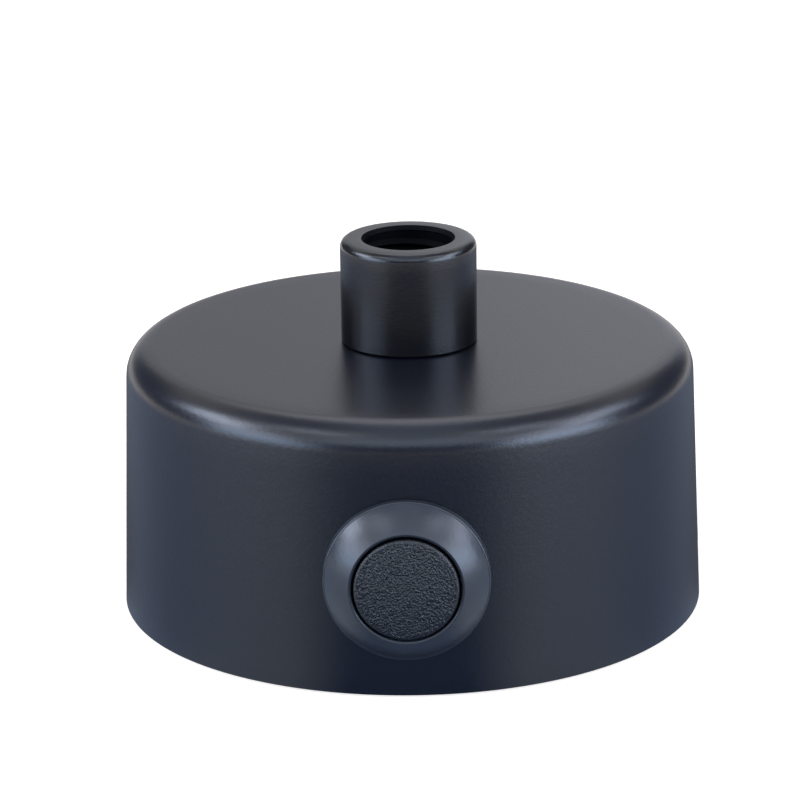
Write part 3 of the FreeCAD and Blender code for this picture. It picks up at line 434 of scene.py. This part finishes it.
finishes = {
    # matt powder coat: a baked polyester film, nearly black with a cold cast, fine even orange peel
    "powderCoat": {"colour": "#030612", "roughness": 0.30, "grain": 0.45, "bump": 0.05, "spread": 0.05},
    # satin lacquer sprayed over a turned steel collar: darker, smoother, a few dust specks under the film
    "lacqueredSteel": {"colour": "#020306", "roughness": 0.25, "grain": 0.30, "bump": 0.07, "spread": 0.08},
    # the same lacquer inside the bore, rough and with almost no sheen: painted shade standing in for the
    # shade in the recess
    "boreShadeLacquer": {"colour": "#020306", "roughness": 0.60, "grain": 0.30, "bump": 0.07, "spread": 0.08,
                     "specular": 0.05},
    # ABS moulded against a satin steel face: soft even sheen, faint cloudy flow marks
    "satinAbs": {"colour": "#272A30", "roughness": 0.32, "grain": 1.6, "bump": 0.03, "spread": 0.06},
    # the same ABS moulded against a spark-eroded face: coarse dry grain
    "sparkedAbs": {"colour": "#101216", "roughness": 0.27, "grain": 0.14, "bump": 0.60, "spread": 0.10},
    "blackenedSteel": {"colour": "#101114", "roughness": 0.38, "grain": 0.5, "bump": 0.05, "spread": 0.08},
    "mouldedPolyamide": {"colour": "#D9D6CC", "roughness": 0.50, "grain": 0.8, "bump": 0.05, "spread": 0.05},
    "mouldedAcetal": {"colour": "#E8E6E0", "roughness": 0.36, "grain": 0.9, "bump": 0.03, "spread": 0.05},
    "blackPhenolic": {"colour": "#16130F", "roughness": 0.34, "grain": 0.7, "bump": 0.05, "spread": 0.08},
    "rubberWasher": {"colour": "#17181A", "roughness": 0.72, "grain": 0.3, "bump": 0.12, "spread": 0.08},
}

metals = {
    "zincPlate": {"colour": "#C3C7CC", "roughness": 0.32, "grain": 0.7, "bump": 0.04, "spread": 0.06},
    "springSteel": {"colour": "#8E9196", "roughness": 0.30, "grain": 0.5, "bump": 0.03, "spread": 0.08},
    "tinnedBrass": {"colour": "#C9C7C0", "roughness": 0.28, "grain": 0.9, "bump": 0.03, "spread": 0.10},
    "bareBrass": {"colour": "#CFA75A", "roughness": 0.27, "grain": 0.8, "bump": 0.03, "spread": 0.12},
}


def makeFinish(name, s, metallic):
    material, tree, output = newMaterial(name)
    point = objectPoint(tree)
    grain = addNode(tree, "ShaderNodeTexNoise", inputs={
        "Vector": point, "Scale": perMillimetre(s["grain"]), "Detail": 3.0, "Roughness": 0.6})
    cloud = addNode(tree, "ShaderNodeTexNoise", inputs={
        "Vector": point, "Scale": perMillimetre(s["grain"] * cloudSize), "Detail": 2.0, "Roughness": 0.5})
    shade = toLinear(s["colour"])
    ramp = addNode(tree, "ShaderNodeValToRGB", inputs={"Fac": cloud.outputs["Fac"]})
    dark, light = ramp.color_ramp.elements
    dark.position, light.position = noiseLow, noiseHigh
    dark.color = (*[c * (1 - s["spread"]) for c in shade[:3]], 1)
    light.color = (*[c * (1 + s["spread"]) for c in shade[:3]], 1)
    gloss = addNode(tree, "ShaderNodeMapRange", inputs={
        "Value": grain.outputs["Fac"], "From Min": noiseLow, "From Max": noiseHigh,
        "To Min": s["roughness"] * (1 - s["spread"]), "To Max": s["roughness"] * (1 + s["spread"])})
    bump = addNode(tree, "ShaderNodeBump", inputs={
        "Height": grain.outputs["Fac"], "Strength": s["bump"], "Distance": s["grain"] * mm})
    shader = addNode(tree, "ShaderNodeBsdfPrincipled", inputs={
        "Base Color": ramp.outputs["Color"], "Roughness": gloss.outputs["Result"],
        "Normal": bump.outputs["Normal"], "Metallic": metallic, "Specular IOR Level": s.get("specular", 0.5)})
    tree.links.new(shader.outputs["BSDF"], output.inputs["Surface"])
    return material


materials = {name: makeFinish(name, s, 0.0) for name, s in finishes.items()}
materials.update({name: makeFinish(name, s, 1.0) for name, s in metals.items()})
print("materials made")


# where the switch's axis meets the wall's outer face, in mm

switchWall = -32.07           # Y
switchHeight = 12.95


# the canopy: one drawn steel shell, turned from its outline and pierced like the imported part

canopySettings = {
    "draft": 1.9,             # degrees the wall leans in
    "sheet": 1.0,             # mm
    "outerBend": 3.3,
    "innerBend": 2.3,
    "edgeRound": 0.12,        # what the coating leaves on a cut edge
    "axisHole": 5.15,
    "switchHole": 6.9,
    "switchCut": 6.0,         # how far the hole's cutter reaches each way
    "switchSides": 96,
    "screwHole": 2.15,
    "screwHeight": 6.0,
    "screwCut": 4.0,
    "screwSides": 48,
    "longestRun": 2.4,        # mm of straight outline before it is divided
    "bendSteps": 10,
    "segments": 288,
}


def makeCanopy(s):
    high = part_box("canopy")[1]
    rim, top = high.x / mm, high.z / mm
    lean = math.tan(math.radians(s["draft"]))
    wall = s["sheet"] / math.cos(math.radians(s["draft"]))
    under = top - s["sheet"]
    edge = s["edgeRound"]
    outline = roundedOutline([
        (rim - wall, 0, edge),
        (rim, 0, edge),
        (rim - top * lean, top, s["outerBend"]),
        (s["axisHole"], top, edge),
        (s["axisHole"], under, edge),
        (rim - wall - under * lean, under, s["innerBend"]),
    ], s["bendSteps"])
    shell = turnedMesh("canopyShell", splitRuns(outline, s["longestRun"]), s["segments"])
    middle = rim - s["sheet"]
    for side in (-1, 1):
        hole = rod("screwCutter", s["screwHole"], -s["screwCut"], s["screwCut"], s["screwSides"])
        place = Matrix.Translation((side * middle * mm, 0, s["screwHeight"] * mm))
        hole.matrix_world = place @ Matrix.Rotation(math.radians(90), 4, "Y")
        cutAway(shell, settle(hole))
    hole = rod("switchCutter", s["switchHole"], -s["switchCut"], s["switchCut"], s["switchSides"])
    place = Matrix.Translation((0, -middle * mm, switchHeight * mm))
    hole.matrix_world = place @ Matrix.Rotation(math.radians(90), 4, "X")
    cutAway(shell, settle(hole))
    finishPiece(shell, materials["powderCoat"], "rose", "canopy", "canopy")


makeCanopy(canopySettings)
print("canopy made")


# screw threads: a V ridge wound on a helix by a node tree, used in the collar and on the switch's neck

def threadTree():
    tree = bpy.data.node_groups.new("screwThread", "GeometryNodeTree")
    face = tree.interface
    for name, start in (("Pitch", 1.0), ("Turns", 6.0), ("Root Radius", 5.0), ("Crest Radius", 4.5),
                        ("Start Height", 0.0)):
        socket = face.new_socket(name, in_out="INPUT", socket_type="NodeSocketFloat")
        socket.default_value = start
    face.new_socket("Steps", in_out="INPUT", socket_type="NodeSocketInt").default_value = 72
    face.new_socket("Finish", in_out="INPUT", socket_type="NodeSocketMaterial")
    face.new_socket("Geometry", in_out="OUTPUT", socket_type="NodeSocketGeometry")
    given = addNode(tree, "NodeGroupInput")
    out = addNode(tree, "NodeGroupOutput")

    def calc(*terms):
        return addMath(tree, *terms)

    pitch, turns = given.outputs["Pitch"], given.outputs["Turns"]
    root, crest = given.outputs["Root Radius"], given.outputs["Crest Radius"]
    grid = addNode(tree, "GeometryNodeMeshGrid", inputs={"Size X": 1.0, "Size Y": 1.0})
    around = addNode(tree, "FunctionNodeFloatToInt", {"rounding_mode": "ROUND"})
    tree.links.new(calc("ADD", calc("MULTIPLY", given.outputs["Steps"], turns), 1.0), around.inputs[0])
    tree.links.new(around.outputs[0], grid.inputs["Vertices X"])
    grid.inputs["Vertices Y"].default_value = 3
    # the grid's long side runs round the helix, its short side goes root, crest, root
    place = addNode(tree, "GeometryNodeInputPosition")
    parts = addNode(tree, "ShaderNodeSeparateXYZ", inputs={0: place.outputs[0]})
    along = calc("ADD", parts.outputs["X"], 0.5)
    across = parts.outputs["Y"]
    angle = calc("MULTIPLY", calc("MULTIPLY", along, turns), math.tau)
    ridge = calc("SUBTRACT", 1.0, calc("MULTIPLY", calc("ABSOLUTE", across), 2.0))
    # the ridge dies away over the first and last third of a turn
    end = calc("MINIMUM", along, calc("SUBTRACT", 1.0, along))
    fade = calc("MULTIPLY", calc("MULTIPLY", end, turns), 3.0)
    ridge = calc("MULTIPLY", ridge, calc("MINIMUM", fade, 1.0))
    radius = calc("ADD", root, calc("MULTIPLY", ridge, calc("SUBTRACT", crest, root)))
    climb = calc("MULTIPLY", calc("ADD", calc("MULTIPLY", along, turns), across), pitch)
    height = calc("ADD", climb, given.outputs["Start Height"])
    point = addNode(tree, "ShaderNodeCombineXYZ")
    tree.links.new(calc("MULTIPLY", radius, calc("COSINE", angle)), point.inputs["X"])
    tree.links.new(calc("MULTIPLY", radius, calc("SINE", angle)), point.inputs["Y"])
    tree.links.new(height, point.inputs["Z"])
    moved = addNode(tree, "GeometryNodeSetPosition", inputs={
        "Geometry": grid.outputs["Mesh"], "Position": point.outputs[0]})
    real = addNode(tree, "GeometryNodeRealizeInstances", inputs={"Geometry": moved.outputs[0]})
    dressed = addNode(tree, "GeometryNodeSetMaterial", inputs={
        "Geometry": real.outputs[0], "Material": given.outputs["Finish"]})
    tree.links.new(dressed.outputs[0], out.inputs["Geometry"])
    return tree


windThread = threadTree()


def makeThread(name, material, **sizes):
    piece = bpy.data.objects.new(name, bpy.data.meshes.new(name))
    bpy.context.scene.collection.objects.link(piece)
    modifier = piece.modifiers.new("thread", "NODES")
    modifier.node_group = windThread
    wanted = {"Finish": material, **sizes}
    for item in windThread.interface.items_tree:
        if item.in_out == "INPUT" and item.name in wanted:
            modifier[item.identifier] = wanted[item.name]
    settle(piece)
    return piece


def joinInto(piece, *others):  # adds other pieces' meshes to this one
    shape = bmesh.new()
    for part in (piece, *others):
        shape.from_mesh(part.data)
    shape.to_mesh(piece.data)
    shape.free()
    for part in others:
        bpy.data.objects.remove(part)


# the collar: turned steel, its bore countersunk and tapped M10 x 1

collarSettings = {
    "edgeRound": 0.9,
    "footChamfer": 0.2,
    "footRound": 0.1,         # the chamfer's outer edge
    "mouthRound": 0.05,
    "fineRound": 0.04,        # the other edges
    "countersink": 5.2,
    "countersinkDepth": 0.5,
    "lip": 0.12,              # the ledge at the countersink's foot
    "majorRadius": 5.0,       # of the thread
    "minorRadius": 4.46,
    "clearance": 0.02,        # keeps the bore off the nipple
    "pitch": 1.0,
    "sink": 0.01,             # how deep the ridge's roots lie in the bore's wall
    "runOut": 0.7,            # mm of the bore that stay without a thread
    "threadSteps": 96,        # a turn
    "boreShadeRadius": 5.12,        # the bore's painted shade (almost no sheen) lies nearer the axis than this
    "bendSteps": 8,
    "longestRun": 1.5,
    "segments": 192,
}


def makeCollar(s):
    low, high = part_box("collar")
    radius, foot, top = high.x / mm, low.z / mm, high.z / mm
    bore = s["majorRadius"] + s["clearance"]
    ledge = top - s["countersinkDepth"]
    outline = roundedOutline([
        (bore, foot),
        (radius - s["footChamfer"], foot, s["fineRound"]),
        (radius, foot + s["footChamfer"], s["footRound"]),
        (radius, top, s["edgeRound"]),
        (s["countersink"] + s["clearance"], top, s["mouthRound"]),
        (bore - s["lip"], ledge, s["fineRound"]),
        (bore, ledge - s["lip"]),
    ], s["bendSteps"])
    collar = turnedMesh("collarBody", splitRuns(outline, s["longestRun"]), s["segments"])
    thread = makeThread("collarThread", materials["lacqueredSteel"], **{
        "Pitch": s["pitch"] * mm, "Turns": (top - foot - s["runOut"]) / s["pitch"] - 1.0,
        "Root Radius": (bore + s["sink"]) * mm, "Crest Radius": s["minorRadius"] * mm,
        "Start Height": (foot + 0.5 * s["pitch"]) * mm, "Steps": s["threadSteps"]})
    joinInto(collar, thread)
    finishPiece(collar, materials["lacqueredSteel"], "rose", "collar", "collar")
    # the bore's faces get the lacquer with painted shade: almost no sheen, so the recess reads dark
    collar.data.materials.append(materials["boreShadeLacquer"])
    for face in collar.data.polygons:
        if math.hypot(face.center.x, face.center.y) < s["boreShadeRadius"] * mm:
            face.material_index = 1


makeCollar(collarSettings)
print("collar made")


# the switch: domed flange with its neck, and the grained button

facing = Matrix.Rotation(math.radians(90), 4, "X")  # a turned piece's +Z to -Y, out of the wall

bezelSettings = {
    "radius": 8.88,
    "bore": 5.78,
    "rimLift": 0.55,
    "front": 3.05,
    "domeRadius": 11.0,
    "lip": 0.35,
    "domeSteps": 24,
    "rimSteps": 5,
    "lipSteps": 6,
    "flangeBack": -2.2,
    "neckRadius": 6.75,       # over the thread
    "neckCore": 6.3,
    "neckChamfer": 0.2,
    "neckEnd": -10.0,
    "neckBore": 5.3,
    "webFront": -3.2,
    "webBack": -4.2,
    "stemHole": 3.4,
    "pitch": 1.0,
    "turns": 8.0,
    "sink": 0.01,             # how deep the ridge's roots lie in the neck
    "runOut": 0.7,            # mm of the neck's end that stay without a thread
    "threadSteps": 96,        # a turn
    "seat": 0.05,             # gap between the flange's hollow back and the canopy
    "saddleReach": 12,        # how far the cutter of that hollow reaches up and down
    "saddleSegments": 256,
    "keeperBack": -20,        # the neck is kept from the cutter between these
    "keeperFront": 0.2,
    "longestRun": 1.2,
    "segments": 192,
}


def onWall(piece):  # from the switch's own frame to its place in the wall
    piece.matrix_world = Matrix.Translation((0, switchWall * mm, switchHeight * mm)) @ facing
    settle(piece)


def makeBezel(s):
    half = s["lip"] / 2
    neckEnd = s["neckEnd"]
    dome = arcBetween((s["radius"] - half, s["rimLift"]), (s["bore"] + s["lip"], s["front"]),
                      s["domeRadius"], s["domeSteps"])
    rim = arcBetween((s["radius"], s["rimLift"] - half), dome[0], half, s["rimSteps"])
    lip = arcBetween(dome[-1], (s["bore"], s["front"] - s["lip"]), s["lip"], s["lipSteps"])
    outline = [
        (s["radius"], s["flangeBack"]), *rim, *dome[1:], *lip[1:],
        (s["bore"], s["webFront"]), (s["stemHole"], s["webFront"]),
        (s["stemHole"], s["webBack"]), (s["neckBore"], s["webBack"]),
        (s["neckBore"], neckEnd), (s["neckCore"] - s["neckChamfer"], neckEnd),
        (s["neckCore"], neckEnd + s["neckChamfer"]), (s["neckCore"], s["flangeBack"]),
    ]
    bezel = turnedMesh("bezelBody", splitRuns(outline, s["longestRun"]), s["segments"])
    onWall(bezel)
    # the back of the flange is hollowed to the canopy's own wall
    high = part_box("canopy")[1]
    foot, lean = high.x / mm + s["seat"], math.tan(math.radians(canopySettings["draft"]))
    bottom, ceiling = switchHeight - s["saddleReach"], switchHeight + s["saddleReach"]
    saddle = turnedMesh("saddle", [
        (0, bottom), (foot - lean * bottom, bottom), (foot - lean * ceiling, ceiling), (0, ceiling),
    ], s["saddleSegments"], closed=False)
    neckKeeper = rod("neckKeeper", s["neckCore"], s["keeperBack"], s["keeperFront"], s["segments"])
    onWall(neckKeeper)
    cutAway(saddle, neckKeeper)
    cutAway(bezel, saddle)
    thread = makeThread("neckThread", materials["satinAbs"], **{
        "Pitch": s["pitch"] * mm, "Turns": s["turns"],
        "Root Radius": (s["neckCore"] - s["sink"]) * mm, "Crest Radius": s["neckRadius"] * mm,
        "Start Height": (neckEnd + s["runOut"]) * mm, "Steps": s["threadSteps"]})
    onWall(thread)
    joinInto(bezel, thread)
    finishPiece(bezel, materials["satinAbs"], "rose", "bezel_plastic", "switch_bezel")


makeBezel(bezelSettings)

capSettings = {
    "radius": 5.58,
    "edge": 3.4,              # where the face meets the edge, in front of the wall
    "edgeRound": 0.45,
    "edgeSteps": 6,
    "crown": 0.4,
    "skirtEnd": -0.6,
    "skirt": 1.0,
    "ceiling": 2.2,
    "grain": 0.21,            # mm from one spark pit to the next
    "grainDepth": 0.10,
    "grainLevel": 0.6,        # the noise is a pit where it is below this
    "fineGrain": 1.9,         # a second noise is this much finer
    "fineShare": 0.6,         # and counts this much
    "grainEnd": 0.2,          # how far the pits go round the edge
    "plainRim": 0.02,         # the outermost strip without pits
    "grainFade": 0.4,         # mm over which they grow to full depth
    "rings": 128,
    "segments": 480,
}


def makeCap(s):
    faceRadius = s["radius"] - s["edgeRound"]
    crownRadius = (faceRadius ** 2 + s["crown"] ** 2) / (2 * s["crown"])
    edge = arcBetween((s["radius"], s["edge"] - s["edgeRound"]), (faceRadius, s["edge"]),
                      s["edgeRound"], s["edgeSteps"])
    face = []
    for k in range(1, s["rings"] + 1):
        r = faceRadius * (1 - k / s["rings"])
        face.append((r, s["edge"] + s["crown"] - (crownRadius - math.sqrt(crownRadius ** 2 - r ** 2))))
    inside = s["radius"] - s["skirt"]
    back = [(0, s["ceiling"]), (inside, s["ceiling"]), (inside, s["skirtEnd"]), (s["radius"], s["skirtEnd"])]
    cap = turnedMesh("buttonCap", [*back, *edge, *face], s["segments"], closed=False)
    size = s["grain"] * mm
    for vertex in cap.data.vertices:  # spark pits, fading out over the rounded edge
        place = vertex.co
        r = math.hypot(place.x, place.y) / mm
        if place.z / mm < s["edge"] - s["grainEnd"] or r > s["radius"] - s["plainRim"]:
            continue
        fade = min(1.0, (s["radius"] - r) / s["grainFade"])
        pit = noise.noise(place / size) + s["fineShare"] * noise.noise(place * s["fineGrain"] / size)
        vertex.co.z += min(0.0, pit - s["grainLevel"]) * s["grainDepth"] * mm * fade
    onWall(cap)
    finishPiece(cap, materials["sparkedAbs"], "button", "cap_plastic", "button_cap")
    cap.data.shade_smooth()


makeCap(capSettings)
print("switch made")


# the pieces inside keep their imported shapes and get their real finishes

nodeFinishes = {
    "zincPlate": ["nipple", "nipple_nut", "bracket", "earth_screw", "clamp_screws", "block_screws"],
    "springSteel": ["lock_washer", "return_spring"],
    "tinnedBrass": ["earth_tag", "left_lug", "right_lug", "contact_bridge"],
    "bareBrass": ["terminal_sleeves", "earth_cup"],
    "mouldedPolyamide": ["terminal_housing"],
    "mouldedAcetal": ["button_plunger", "cam_rotor"],
    "blackPhenolic": ["switch_base"],
    "satinAbs": ["switch_nut"],
    "rubberWasher": ["switch_gasket"],
    "blackenedSteel": ["canopy_screws"],
}

for finish, names in nodeFinishes.items():
    for name in names:
        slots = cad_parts[name].material_slots
        for slot in slots:
            slot.material = materials[finish]
        if not slots:
            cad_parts[name].data.materials.append(materials[finish])
print("inner pieces finished")
